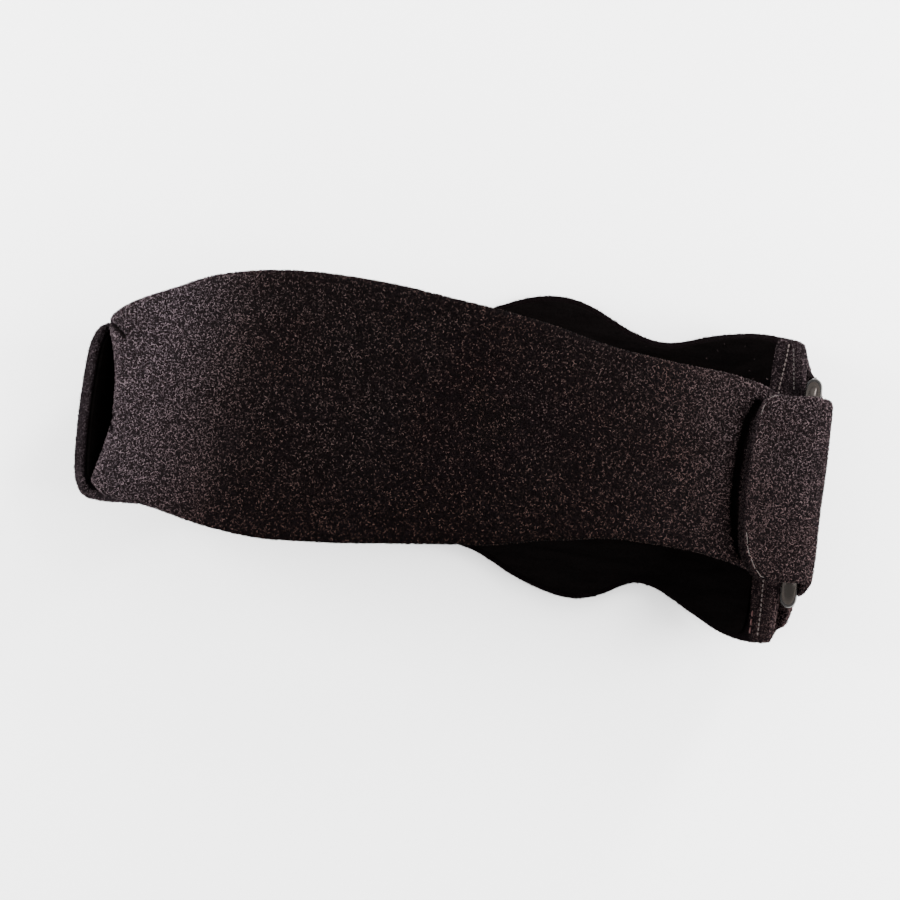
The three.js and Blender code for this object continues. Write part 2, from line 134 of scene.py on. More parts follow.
class StrapColours(bpy.types.PropertyGroup):
    """Colours of the cloths, the threads and the metal."""

    ground: colour_setting(
        "Ground cloth", "Knitted ground under the pile", (0.0010, 0.0006, 0.0006))
    yarn_dark: colour_setting("Dark yarn", "Darkest curls of the pile", (0.0008, 0.0005, 0.0005))
    # Middle yarn: the lightest curls in the middle of the strap, where no painted end light is
    yarn_middle: colour_setting(
        "Middle yarn", "Lightest curls where the cloth isn't faded", (0.0320, 0.0215, 0.0195))
    yarn_light: colour_setting("Light yarn", "Lightest curls of the pile", (0.094, 0.0718, 0.0810))
    velour: colour_setting("Velour", "Lining inside the panel", (0.0005, 0.0004, 0.0004))
    seam: colour_setting("Seam thread", "Light stitching of the hems", (0.115, 0.086, 0.078))
    foot_seam: colour_setting(
        "Foot thread", "Reddish stitching at the foot of the tab", (0.09, 0.028, 0.025))
    metal: colour_setting("Ring", "Satin coating of the ring", (0.0172, 0.0150, 0.0136))
    floor: colour_setting("Floor", "Pale floor under the strap", (0.93, 0.93, 0.93))


def sizes():
    """The sizes as set in the sidebar or by default."""
    return bpy.context.scene.patella_sizes


def colours():
    """The colours as set in the sidebar or by default."""
    return bpy.context.scene.patella_colours


def scaled(colour, share):
    """A colour made darker or lighter."""
    return tuple(share * c for c in colour)


def tinted(colour, tint):
    """A colour seen through a tint."""
    return tuple(c * t for c, t in zip(colour, tint))


# Shares of the light yarn's colour: in the ground, in the ground under the painted end light, in
# the painted highlight on the rims and in the darkest curls under the painted end light
GROUND_LIGHT = 0.045
GROUND_LIT_END = 0.075
RIM_HIGHLIGHT = 0.19
CURL_LIT_END = 0.08
# Few curls are light: the power of their tone, what the painted end light takes off it, and how
# soon
TONE_POWER = 8.0
LIT_POWER_DROP = 5.8
LIT_GAIN = 4.0
# Tints of the ground's light yarn, of the pale curls and of the dark ones
WARM_GROUND = (0.95, 0.78, 0.74)
WARM_CURL = (1.0, 0.96, 0.93)
BROWN_CURL = (1.02, 0.80, 0.68)
# Painted end light by X, its share by Y (more towards +Y) and how cool the dark curls are by Y,
# from metres
LIT_ENDS_SPAN = {"From Min": -0.09, "From Max": 0.09}
SHARE_SPAN = {"From Min": -0.03, "From Max": 0.035, "To Min": 0.72, "To Max": 1.65}
COOL_SPAN = {"From Min": -0.024, "From Max": 0.004, "To Min": 0.0, "To Max": 1.4}
# Painted light on the cloth from the folded end to the ring, most at both ends: place between the
# ends and share
LIT_ENDS_ALONG = [
    (0.00, 1.00), (0.11, 0.86), (0.20, 0.075), (0.33, 0.09), (0.47, 0.028), (0.64, 0.055),
    (0.75, 0.105), (0.85, 0.23), (0.93, 0.35), (1.00, 0.43),
]


# Node helpers


def node(tree, kind, settings=None, values=None):
    """A node of a tree, with its settings and the values of its unlinked sockets."""
    made = tree.nodes.new(kind)
    for name, value in (settings or {}).items():
        setattr(made, name, value)
    for name, value in (values or {}).items():
        made.inputs[name].default_value = value
    return made


def ramp(tree, stops):
    """A ramp of greys with (position, grey) stops."""
    made = tree.nodes.new("ShaderNodeValToRGB")
    elements = made.color_ramp.elements
    while len(elements) < len(stops):
        elements.new(0.5)
    for element, (position, tone) in zip(elements, stops):
        element.position = position
        element.color = (tone, tone, tone, 1)
    return made


def texture(tree, kind, place, values, settings=None):
    """A procedural texture, or another node that works on a place."""
    made = node(tree, kind, settings, values)
    tree.links.new(place, made.inputs["Vector"])
    return made


def noise(tree, place, values):
    """Soft noise at a place."""
    return texture(tree, "ShaderNodeTexNoise", place, values)


def stored(tree, name):
    """A number stored on the points of a piece."""
    return node(tree, "ShaderNodeAttribute", {"attribute_name": name}).outputs["Fac"]


def mapped(tree, value, span):
    """A value carried from one span to another."""
    made = node(tree, "ShaderNodeMapRange", values=span)
    tree.links.new(value, made.inputs["Value"])
    return made.outputs["Result"]


def group(name, numbers, outputs):
    """A new node group that takes a place and some numbers with their defaults."""
    tree = bpy.data.node_groups.new(name, "ShaderNodeTree")
    tree.interface.new_socket("Vector", in_out="INPUT", socket_type="NodeSocketVector")
    for label, value in numbers.items():
        socket = tree.interface.new_socket(label, in_out="INPUT", socket_type="NodeSocketFloat")
        socket.default_value = value
    for label in outputs:
        tree.interface.new_socket(label, in_out="OUTPUT", socket_type="NodeSocketFloat")
    return tree, tree.nodes.new("NodeGroupInput"), tree.nodes.new("NodeGroupOutput")


def math_node(tree, operation, first, second, clamp=False):
    """A sum, product or other result of two sockets or numbers."""
    made = node(tree, "ShaderNodeMath", {"operation": operation, "use_clamp": clamp})
    for index, value in enumerate((first, second)):
        if isinstance(value, (int, float)):
            made.inputs[index].default_value = value
        else:
            tree.links.new(value, made.inputs[index])
    return made.outputs[0]


def loop_pile_group():
    """Curly loops seen as a field: a mask of light curls and the height of the field."""
    tree, given, result = group(
        "Loop Pile", {"Curl": 1100.0, "Contrast": 1.0}, ["Shade", "Height"])
    place = given.outputs["Vector"]
    worms = noise(tree, place, {"Detail": 2.0, "Distortion": 1.6})
    tree.links.new(given.outputs["Curl"], worms.inputs["Scale"])
    ridge = math_node(tree, "SUBTRACT", worms.outputs["Fac"], 0.5)
    ridge = math_node(tree, "ABSOLUTE", ridge, 0.0)
    ridge = math_node(tree, "MULTIPLY", ridge, 9.0)
    ridge = math_node(tree, "SUBTRACT", 1.0, ridge, clamp=True)
    cells = texture(tree, "ShaderNodeTexVoronoi", place, {"Smoothness": 0.4},
                    {"feature": "SMOOTH_F1"})
    tree.links.new(given.outputs["Curl"], cells.inputs["Scale"])
    bumps = math_node(tree, "SUBTRACT", 1.0, cells.outputs["Distance"], clamp=True)
    height = math_node(tree, "MULTIPLY", bumps, 0.55)
    height = math_node(tree, "ADD", height, math_node(tree, "MULTIPLY", ridge, 0.45))
    shade = math_node(tree, "MULTIPLY", height, given.outputs["Contrast"], clamp=True)
    tree.links.new(shade, result.inputs["Shade"])
    tree.links.new(height, result.inputs["Height"])
    return tree


def drift_group():
    """Slow change of tone over a cloth, from handling and from the lie of its pile."""
    tree, given, result = group("Tone Drift", {"Scale": 45.0}, ["Mask"])
    clouds = noise(tree, given.outputs["Vector"], {"Detail": 4.0, "Roughness": 0.6})
    tree.links.new(given.outputs["Scale"], clouds.inputs["Scale"])
    soft = ramp(tree, [(0.32, 0.0), (0.70, 1.0)])
    tree.links.new(clouds.outputs["Fac"], soft.inputs["Fac"])
    tree.links.new(soft.outputs["Color"], result.inputs["Mask"])
    return tree


def lit_ends_group():
    """Painted light along the strap, paler and greyer at both ends and towards +Y; and how cool
    dark curls are by Y.
    """
    tree, given, result = group("Painted End Light", {}, ["Tone", "Cool"])
    parts = texture(tree, "ShaderNodeSeparateXYZ", given.outputs["Vector"], {})
    lit_ends = ramp(tree, LIT_ENDS_ALONG)
    lit_ends.color_ramp.interpolation = "B_SPLINE"
    tree.links.new(mapped(tree, parts.outputs["X"], LIT_ENDS_SPAN), lit_ends.inputs["Fac"])
    share = mapped(tree, parts.outputs["Y"], SHARE_SPAN)
    tone = math_node(tree, "MULTIPLY", lit_ends.outputs["Color"], share)
    tree.links.new(tone, result.inputs["Tone"])
    tree.links.new(mapped(tree, parts.outputs["Y"], COOL_SPAN), result.inputs["Cool"])
    return tree


def nap_group():
    """Short velour: streaks where the nap is stroked one way, and a fine grain."""
    tree, given, result = group("Velour Nap", {"Streak": 240.0}, ["Shade", "Height"])
    place = given.outputs["Vector"]
    drawn = texture(tree, "ShaderNodeMapping", place, {"Scale": (0.25, 1.6, 1.0)})
    streaks = noise(tree, drawn.outputs["Vector"], {"Detail": 3.0, "Distortion": 0.4})
    tree.links.new(given.outputs["Streak"], streaks.inputs["Scale"])
    grain = noise(tree, place, {"Scale": 2600.0, "Detail": 2.0})
    shade = math_node(tree, "MULTIPLY", streaks.outputs["Fac"], grain.outputs["Fac"])
    tree.links.new(math_node(tree, "MULTIPLY", shade, 3.0, clamp=True), result.inputs["Shade"])
    tree.links.new(grain.outputs["Fac"], result.inputs["Height"])
    return tree


GROUP_MAKERS = {
    "Painted End Light": lit_ends_group,
    "Loop Pile": loop_pile_group,
    "Tone Drift": drift_group,
    "Velour Nap": nap_group,
}


def placed_group(tree, name, place, values=None):
    """One of the shared node groups at a place, made when it is first used."""
    shared = bpy.data.node_groups.get(name) or GROUP_MAKERS[name]()
    return texture(tree, "ShaderNodeGroup", place, values, {"node_tree": shared})


def start_material(name, roughness, specular=0.3, sheen=0.0, metallic=0.0):
    """A new material with its numbers on the shader's sockets, and its tree, shader and place."""
    material = bpy.data.materials.new(name)
    material.use_nodes = True
    tree = material.node_tree
    shader = tree.nodes["Principled BSDF"]
    numbers = {"Roughness": roughness, "Specular IOR Level": specular, "Metallic": metallic,
               "Sheen Weight": sheen, "Sheen Roughness": 0.45}
    for label, value in numbers.items():
        shader.inputs[label].default_value = value
    place = node(tree, "ShaderNodeTexCoord")
    return material, tree, shader, place.outputs["Object"]


def mixed(tree, mask, first, second):
    """Colour between two colours or sockets by a mask."""
    made = node(tree, "ShaderNodeMix", {"data_type": "RGBA"})
    tree.links.new(mask, made.inputs["Factor"])
    for label, value in (("A", first), ("B", second)):
        socket = [s for s in made.inputs if s.name == label and s.type == "RGBA"][0]
        if isinstance(value, bpy.types.NodeSocket):
            tree.links.new(value, socket)
        else:
            socket.default_value = (*value, 1)
    return [s for s in made.outputs if s.type == "RGBA"][0]


def bumped(tree, shader, height, distance, strength):
    """Small relief of a height field."""
    bump = node(tree, "ShaderNodeBump", values={"Distance": distance, "Strength": strength})
    tree.links.new(height, bump.inputs["Height"])
    tree.links.new(bump.outputs["Normal"], shader.inputs["Normal"])


def brushed_cloth(name, lift=1.0, rim_highlight=0.25):
    """Knitted ground of a brushed cloth, with painted end light, a painted highlight on its rims
    and painted shade.
    """
    palette = colours()
    material, tree, shader, place = start_material(name, roughness=1.0, specular=0.0)
    pile = placed_group(tree, "Loop Pile", place, {"Curl": 1150.0, "Contrast": 1.1})
    drift = placed_group(tree, "Tone Drift", place, {"Scale": 38.0})
    lit_ends = placed_group(tree, "Painted End Light", place)
    light = scaled(palette.yarn_light, lift * GROUND_LIGHT)
    tone = mixed(tree, drift.outputs["Mask"], tinted(light, WARM_GROUND), light)
    # Painted light: the ground's colour where the painted end light is full
    lit = scaled(palette.yarn_light, GROUND_LIT_END)
    base = mixed(tree, lit_ends.outputs["Tone"], scaled(palette.ground, lift), lit)
    cloth = mixed(tree, pile.outputs["Shade"], base, tone)
    # Painted highlight along the rims, strongest at the lower corner of the folded end
    rim = math_node(tree, "MULTIPLY", stored(tree, "rim"), rim_highlight)
    edge = mixed(tree, rim, cloth, scaled(palette.yarn_light, RIM_HIGHLIGHT))
    # Painted shade: the shade attribute darkens the cloth towards black
    deep = mixed(tree, stored(tree, "shade"), edge, SHADE_BLACK)
    tree.links.new(deep, shader.inputs["Base Color"])
    bumped(tree, shader, pile.outputs["Height"], 0.35 * MM, 0.9)
    return material


def yarn_cloth(name):
    """Yarn of the curls, each with its own tone, under painted light towards the ends of the strap.
    """
    palette = colours()
    material, tree, shader, place = start_material(name, roughness=0.9, specular=0.02)
    drift = placed_group(tree, "Tone Drift", place, {"Scale": 30.0})
    lit_ends = placed_group(tree, "Painted End Light", place)
    light = palette.yarn_light
    middle = palette.yarn_middle
    # Painted light: towards the ends the curls are paler, more often light and lighter at their
    # darkest
    pale_end = mixed(tree, drift.outputs["Mask"], tinted(light, WARM_CURL), light)
    cool = math_node(tree, "MULTIPLY", drift.outputs["Mask"], lit_ends.outputs["Cool"], clamp=True)
    dark_middle = mixed(tree, cool, tinted(middle, BROWN_CURL), middle)
    bright = mixed(tree, lit_ends.outputs["Tone"], dark_middle, pale_end)
    lit_drop = math_node(tree, "MULTIPLY", lit_ends.outputs["Tone"], LIT_GAIN, clamp=True)
    lit_drop = math_node(tree, "MULTIPLY", lit_drop, LIT_POWER_DROP)
    power = math_node(tree, "SUBTRACT", TONE_POWER, lit_drop)
    share = math_node(tree, "POWER", stored(tree, "tone"), power)
    deep = mixed(tree, lit_ends.outputs["Tone"], palette.yarn_dark, scaled(light, CURL_LIT_END))
    curl = mixed(tree, share, deep, bright)
    tree.links.new(curl, shader.inputs["Base Color"])
    return material


def velour_material():
    """Very black short velour, barely lighter where it is stroked."""
    palette = colours()
    material, tree, shader, place = start_material(
        "lining_velour", roughness=1.0, specular=0.0)
    nap = placed_group(tree, "Velour Nap", place)
    tone = mixed(tree, nap.outputs["Shade"], palette.velour, scaled(palette.velour, 3.5))
    tree.links.new(tone, shader.inputs["Base Color"])
    bumped(tree, shader, nap.outputs["Height"], 0.15 * MM, 0.5)
    return material


def thread_material(name, colour):
    """Sewing thread, darker between its fibres."""
    material, tree, shader, place = start_material(name, roughness=0.7, sheen=0.1)
    fibres = noise(tree, place, {"Scale": 3200.0, "Detail": 2.0})
    tone = mixed(tree, fibres.outputs["Fac"], scaled(colour, 0.45), colour)
    tree.links.new(tone, shader.inputs["Base Color"])
    bumped(tree, shader, fibres.outputs["Fac"], 0.08 * MM, 0.6)
    return material


def metal_material():
    """Dark satin coating of the ring, unevenly polished by the cloth."""
    palette = colours()
    material, tree, shader, place = start_material(
        "ring_satin", roughness=0.3, specular=0.5, metallic=0.9)
    shader.inputs["Specular Tint"].default_value = (0.3, 0.29, 0.28, 1)
    drift = placed_group(tree, "Tone Drift", place, {"Scale": 160.0})
    tone = mixed(tree, drift.outputs["Mask"], palette.metal, scaled(palette.metal, 1.35))
    tree.links.new(tone, shader.inputs["Base Color"])
    gloss = ramp(tree, [(0.0, 0.22), (1.0, 0.30)])
    tree.links.new(drift.outputs["Mask"], gloss.inputs["Fac"])
    tree.links.new(gloss.outputs["Color"], shader.inputs["Roughness"])
    grain = noise(tree, place, {"Scale": 1900.0, "Detail": 3.0})
    bumped(tree, shader, grain.outputs["Fac"], 0.03 * MM, 0.35)
    return material


def hook_material():
    """Black hook tape."""
    material, tree, shader, place = start_material("hook_tape", roughness=0.7, specular=0.1)
    hooks = texture(tree, "ShaderNodeTexVoronoi", place, {"Scale": 900.0, "Randomness": 0.25})
    tone = ramp(tree, [(0.1, 0.006), (0.6, 0.001)])
    tree.links.new(hooks.outputs["Distance"], tone.inputs["Fac"])
    tree.links.new(tone.outputs["Color"], shader.inputs["Base Color"])
    bumped(tree, shader, hooks.outputs["Distance"], 0.4 * MM, 0.9)
    return material


# Modelling helpers


def deselect():
    """Object mode with nothing selected."""
    if bpy.context.object and bpy.context.object.mode != "OBJECT":
        bpy.ops.object.mode_set(mode="OBJECT")
    bpy.ops.object.select_all(action="DESELECT")


def linked(name, data):
    """A new object in the scene."""
    made = bpy.data.objects.new(name, data)
    bpy.context.collection.objects.link(made)
    return made


def activate(piece):
    """Selects one piece alone."""
    deselect()
    piece.select_set(True)
    bpy.context.view_layer.objects.active = piece


def edit_all():
    """Edit mode with all of the active piece selected."""
    bpy.ops.object.mode_set(mode="EDIT")
    bpy.ops.mesh.select_all(action="SELECT")


def finished(piece, material):
    """A piece with its material that rides with the strap and takes its finish from a slot."""
    piece.data.materials.clear()
    piece.data.materials.append(material)
    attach(piece, "root")
    return piece


def soft_copy(node_name, name, levels=2):
    """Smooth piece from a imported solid: doubles merged, triangles paired, surface subdivided."""
    if node_name not in frame["nodes"]:
        raise RuntimeError(f"the frame has no solid named {node_name}")
    piece = linked(name, frame["nodes"][node_name].data.copy())
    activate(piece)
    edit_all()
    bpy.ops.mesh.remove_doubles(threshold=0.005 * MM)
    bpy.ops.mesh.tris_convert_to_quads(
        face_threshold=math.radians(45), shape_threshold=math.radians(60))
    bpy.ops.object.mode_set(mode="OBJECT")
    smooth = piece.modifiers.new("smooth", "SUBSURF")
    smooth.levels = levels
    smooth.render_levels = levels
    bpy.ops.object.modifier_apply(modifier=smooth.name)
    bpy.ops.object.shade_smooth()
    return piece


def points_of(mesh):
    """Points of a mesh as rows of an array."""
    flat = np.empty(len(mesh.vertices) * 3, np.float32)
    mesh.vertices.foreach_get("co", flat)
    return flat.reshape(-1, 3).astype(float)


def normals_of(mesh):
    """Normals of a mesh at its points, as rows of an array."""
    flat = np.empty(len(mesh.vertices) * 3, np.float32)
    mesh.vertex_normals.foreach_get("vector", flat)
    return flat.reshape(-1, 3).astype(float)


def set_points(mesh, points):
    """Moves the points of a mesh."""
    mesh.vertices.foreach_set("co", points.astype(np.float32).ravel())
    mesh.update()


def smoothstep(low, high, value):
    """0 up to low, 1 from high on, and smooth between them."""
    t = np.clip((value - low) / (high - low), 0, 1)
    return t * t * (3 - 2 * t)


def surface_of(*pieces):
    """A tree of the faces of some pieces, for rays and nearest points."""
    vertices = []
    faces = []
    for piece in pieces:
        start = len(vertices)
        vertices += [tuple(v.co) for v in piece.data.vertices]
        faces += [[start + i for i in p.vertices] for p in piece.data.polygons]
    return BVHTree.FromPolygons(vertices, faces)


def paint(piece, name, values):
    """Stores a number a point of a piece for its material."""
    layer = piece.data.attributes.new(name, "FLOAT", "POINT")
    layer.data.foreach_set("value", np.asarray(values, np.float32))


def away_from(points, course):
    """Distance in plan from each point to a course of places in millimetres."""
    nearest = np.full(len(points), np.inf)
    for start, end in zip(course, course[1:]):
        start, end = np.array(start) * MM, np.array(end) * MM
        along = end - start
        share = np.clip(((points[:, :2] - start) @ along) / (along @ along), 0, 1)
        gap = np.linalg.norm(points[:, :2] - start - share[:, None] * along, axis=1)
        nearest = np.minimum(nearest, gap)
    return nearest


def crease_mask(points, creases):
    """How deep each point lies in a crease: 1 at its bottom, 0 away from it."""
    mask = np.zeros(len(points))
    for crease in creases:
        away = away_from(points, crease["course"])
        inside = (points[:, 2] > crease["low"] * MM) & (points[:, 2] < crease["high"] * MM)
        bottom = crease["depth"] * inside * np.exp(-(away / (crease["width"] * MM)) ** 2)
        mask = np.maximum(mask, bottom)
    return mask


# A point is on the rim where its cloth is deeper than it is thick: from this share to that
RIM_DEPTH = (1.25, 3.0)


def mark_rim(piece, thickness, margin=0.0):
    """Stores how far each point belongs to the rim of a cloth: 0 on its faces, 1 on its edges.

    The rims take a painted highlight; the lower corner at the folded end takes much more painted
    light, there also on a margin of the face.
    """
    mesh = piece.data
    tree = surface_of(piece)
    points = points_of(mesh)
    normals = normals_of(mesh)
    depth = np.full(len(points), thickness)
    for i, (point, normal) in enumerate(zip(points, normals)):
        inward = Vector(-normal)
        hit = tree.ray_cast(Vector(point) + inward * 0.05 * MM, inward)
        if hit[0] is not None:
            depth[i] = hit[3]
    rim = smoothstep(*RIM_DEPTH, depth / thickness)
    x, y = points[:, :2].T / MM
    # Painted light at the lower corner of the folded end and on a margin of the panel's face
    bound = smoothstep(-62, -70, x) * smoothstep(-15, -18, y)
    lit_margin = margin * smoothstep(-64, -70, x) * smoothstep(-21.2, -21.8, y)
    paint(piece, "rim", np.maximum(rim * (1 + 11 * bound), lit_margin))


# Pile


CROWD = 2.5                # spots tried for each one wanted, thinned to one in a cell
CELL = 0.92                # side of that cell, as a share of the mean distance of the spots
PILE_HEIGHT = 0.3 * MM     # where the pile is taken to be above its cloth
CLEARANCE = 0.45 * MM      # the pile leaves out what is this close to the next piece
DEEPEST = 0.45             # depth of a crease from which on it has no pile
MOST_CURLS = 49000         # in one piece
PILE_SPLIT = -5 * MM       # X where the pile of the strap's two halves meets
# Places of a curl's three pairs of points: along its length, its rise and its bend
CURL = ((-0.5, -0.2, 0.0), (0.0, 1.0, 1.0), (0.5, -0.2, 0.0))
# How much the curls vary, as shares of their mean sizes, and their roll in radians
LENGTHS = (0.55, 1.3)
RISES = (0.5, 1.25)
BENDS = (-0.5, 0.5)
YARNS = (0.75, 1.25)
ROLLS = (-0.6, 0.6)


def spots_on(piece, density, seed):
    """Points spread over a piece, density(centres, normals) to the square millimetre."""
    mesh = piece.data
    mesh.calc_loop_triangles()
    triangles = np.empty(len(mesh.loop_triangles) * 3, np.int32)
    mesh.loop_triangles.foreach_get("vertices", triangles)
    triangles = triangles.reshape(-1, 3)
    points = points_of(mesh)
    corners = points[triangles]
    cross = np.cross(corners[:, 1] - corners[:, 0], corners[:, 2] - corners[:, 0])
    size = np.linalg.norm(cross, axis=1)
    normals = cross / np.maximum(size, 1e-15)[:, None]
    share = density(corners.mean(1), normals)
    densest = share.max()
    wanted = share * size / 2 / MM ** 2
    random = np.random.default_rng(seed)
    total = int(CROWD * wanted.sum())
    chosen = random.choice(len(size), total, p=wanted / wanted.sum())
    u, v = random.random((2, total, 1))
    over = u + v > 1
    u, v = np.where(over, 1 - u, u), np.where(over, 1 - v, v)
    a, b, c = (corners[chosen, i] for i in range(3))
    spots = a + u * (b - a) + v * (c - a)
    cell = CELL * MM / math.sqrt(densest)
    _, first = np.unique(np.floor(spots / cell).astype(np.int64), axis=0, return_index=True)
    kept = np.sort(first)
    return spots[kept], normals[chosen][kept], random


def clear_of(points, normals, neighbours):
    """Which points keep their pile: those clear of the neighbouring pieces."""
    tree = surface_of(*neighbours)
    keep = np.ones(len(points), bool)
    for i, (point, normal) in enumerate(zip(points, normals)):
        above = Vector(point + PILE_HEIGHT * normal)
        keep[i] = tree.find_nearest(above, CLEARANCE)[0] is None
    return keep


def even(points):
    """The same lightness everywhere."""
    return np.ones(len(points))


def curls(name, piece, density, neighbours, seed, tone=(0.0, 1.0), floor=None, creases=(),
          lightness=even):
    """Curled loops of yarn over a cloth, as one joined mesh of small bent ribbons."""
    size = sizes()
    base, normal, random = spots_on(piece, density, seed)
    pressed = crease_mask(base, creases)
    keep = clear_of(base, normal, neighbours) & (pressed < DEEPEST)
    base, normal, pressed = base[keep], normal[keep], pressed[keep]
    count = len(base)
    if not count or count > MOST_CURLS:
        raise RuntimeError(f"{count} curls in {name}")
    aside = np.cross(normal, random.normal(size=(count, 3)))
    aside /= np.linalg.norm(aside, axis=1)[:, None]
    across = np.cross(normal, aside)
    length = size.loop_reach * random.uniform(*LENGTHS, (count, 1))
    rise = size.loop_rise * random.uniform(*RISES, (count, 1))
    curl = length * random.uniform(*BENDS, (count, 1))
    yarn = size.loop_yarn / 2 * random.uniform(*YARNS, (count, 1))
    roll = random.uniform(*ROLLS, (count, 1))
    flat = np.cos(roll) * across + np.sin(roll) * normal
    rings = []
    for share, height, bend in CURL:
        centre = base + aside * length * share + normal * rise * height + across * curl * bend
        rings += [centre - yarn * flat, centre + yarn * flat]
    points = np.stack(rings, 1)
    if floor is not None:
        points[..., 2] = np.maximum(points[..., 2], floor)
    each = 2 * len(CURL)
    corners = np.array([0, 2, 3, 1, 2, 4, 5, 3])
    loops = corners[None, :] + each * np.arange(count)[:, None]
    mesh = bpy.data.meshes.new(name)
    mesh.vertices.add(each * count)
    mesh.vertices.foreach_set("co", points.astype(np.float32).ravel())
    mesh.loops.add(loops.size)
    mesh.loops.foreach_set("vertex_index", loops.ravel().astype(np.int32))
    mesh.polygons.add(2 * count)
    mesh.polygons.foreach_set("loop_start", 4 * np.arange(2 * count, dtype=np.int32))
    mesh.polygons.foreach_set("use_smooth", np.ones(2 * count, bool))
    mesh.update(calc_edges=True)
    made = linked(name, mesh)
    # Painted shade: curls are darker in the creases, and lightness paints light or shade on them
    tones = random.uniform(*tone, count) * (1 - pressed) * lightness(base)
    paint(made, "tone", np.repeat(tones, each))
    return made


# Stitching


SIDES = 6
# Rings of a stitch: share of its length, rise and girth as shares of the thread's radius
STITCH = ((0.0, -0.6, 0.35), (0.12, 0.25, 0.9), (0.35, 0.75, 1.0), (0.65, 0.75, 1.0),
          (0.88, 0.25, 0.9), (1.0, -0.6, 0.35))


def along_line(run, values, at):
    """The place or the direction at a distance along a line."""
    return np.array([np.interp(at, run, values[:, i]) for i in range(3)])


def stitches(name, line, normals, material, stitch, gap_share=0.22, girth_share=1.0):
    """Sewn stitches along a line of points on a cloth: one joined mesh of bent capsules."""
    size = sizes()
    radius = girth_share * size.thread / 2
    line = np.array(line, float)
    normals = np.array(normals, float)
    steps = np.linalg.norm(np.diff(line, axis=0), axis=1)
    run = np.concatenate([[0], np.cumsum(steps)])
    near = 0.1 * MM
    count = max(1, int(run[-1] / stitch))
    vertices = []
    faces = []
    for k in range(count):
        from_run = (k + gap_share / 2) * run[-1] / count
        to_run = (k + 1 - gap_share / 2) * run[-1] / count
        start = len(vertices)
        for share, height, girth in STITCH:
            at = from_run + share * (to_run - from_run)
            normal = along_line(run, normals, at)
            normal /= np.linalg.norm(normal)
            along = along_line(run, line, at + near) - along_line(run, line, at - near)
            side = np.cross(normal, along / np.linalg.norm(along))
            centre = along_line(run, line, at) + normal * height * radius
            for j in range(SIDES):
                turn = 2 * math.pi * j / SIDES
                vertices.append(centre + radius * girth
                                * (math.cos(turn) * side + math.sin(turn) * normal))
        last = len(STITCH) - 1
        for ring in range(last):
            for j in range(SIDES):
                a = start + ring * SIDES + j
                b = start + ring * SIDES + (j + 1) % SIDES
                faces.append((a, b, b + SIDES, a + SIDES))
        faces.append([start + j for j in reversed(range(SIDES))])
        faces.append([start + last * SIDES + j for j in range(SIDES)])
    mesh = bpy.data.meshes.new(name)
    mesh.from_pydata([tuple(v) for v in vertices], [], faces)
    mesh.shade_smooth()
    return finished(linked(name, mesh), material)


def dropped_line(tree, places, lowest):
    """Points where rays down from some places meet a surface above a height, and normals there."""
    found = []
    facing = []
    for place in places:
        hit, normal, _, _ = tree.ray_cast(Vector(place), Vector((0, 0, -1)))
        if hit is not None and hit.z > lowest:
            found.append(tuple(hit))
            facing.append(tuple(normal if normal.z > 0 else -normal))
    return found, facing


# Pieces


# Creases of the strap in plan: their course and width in millimetres, between two heights
CREASES = [
    {"course": [(-82.4, 17.9), (-80.6, 16.9), (-78.6, 15.0)],
     "width": 0.55, "depth": 0.8, "low": 34, "high": 47},
    {"course": [(-81.6, -4.4), (-80.6, -4.6), (-79.3, -3.0)],
     "width": 0.5, "depth": 0.75, "low": 34, "high": 47},
    {"course": [(-80.6, -4.6), (-79.2, -6.6)],
     "width": 0.5, "depth": 0.75, "low": 34, "high": 47},
    {"course": [(69.0, 17.6), (67.1, 13.3), (66.3, 7.5), (66.1, 0.5), (66.3, -6.4), (67.2, -12.2),
                (68.9, -16.6)],
     "width": 1.1, "depth": 1.0, "low": 40, "high": 46.4},
]
CREASE_DEPTH = 1.0 * MM
RIPPLE = 0.1 * MM          # height of the slow waves of the strap's faces
# Outline of the closing end seen from above: the least X at some places across, in millimetres
CLOSING_TIP = {
    -24.0: 76.4, -22.2: 74.0, -20.1: 72.1, -16.7: 70.2, -10.9: 69.0, -4.0: 68.7, 7.4: 68.75,
    13.2: 69.1, 17.3: 69.9, 19.4: 71.0, 20.1: 72.7, 22.0: 75.2,
}
TIP_SLANT = 1.5 * MM       # overhang of the lower edge of the closing end's cut wall
# The functions that shape a piece name places and lengths in millimetres.


def shape_fold(points):
    """Draws the two corners of the strap at the fold outwards, so that its edge is hollow."""
    x, y, z = points.T / MM
    left = smoothstep(-64, -78, x) * smoothstep(14, 26, z)
    hollow = np.minimum(((y + 0.6) / 17.6) ** 2, 0.95)
    points[:, 0] -= 2.3 * MM * left * hollow
    points[:, 1] -= 0.7 * MM * left ** 4 * smoothstep(-13, -19, y)
    points[:, 1] += 0.3 * MM * left ** 6 * smoothstep(12, 20, y)
    return points


def shape_wrap(points):
    """Squares the upper corner of the wrap round the ring and flares its lower edge."""
    x, y, z = points.T / MM
    wrap = smoothstep(75, 84, x) * smoothstep(38, 44, z)
    points[:, 1] += 1.25 * MM * wrap * smoothstep(9, 19, y)
    flare = smoothstep(82.0, 84.5, x) * np.exp(-((z - 38.5) / 3.6) ** 2)
    points[:, 1] -= 3.9 * MM * flare * smoothstep(-9, -20, y)
    points[:, 1] += 1.2 * MM * flare * smoothstep(9, 19, y)
    return points


def tip_limit(y):
    """The least X of the closing end at some places across, in millimetres."""
    return np.interp(y, list(CLOSING_TIP), list(CLOSING_TIP.values()))


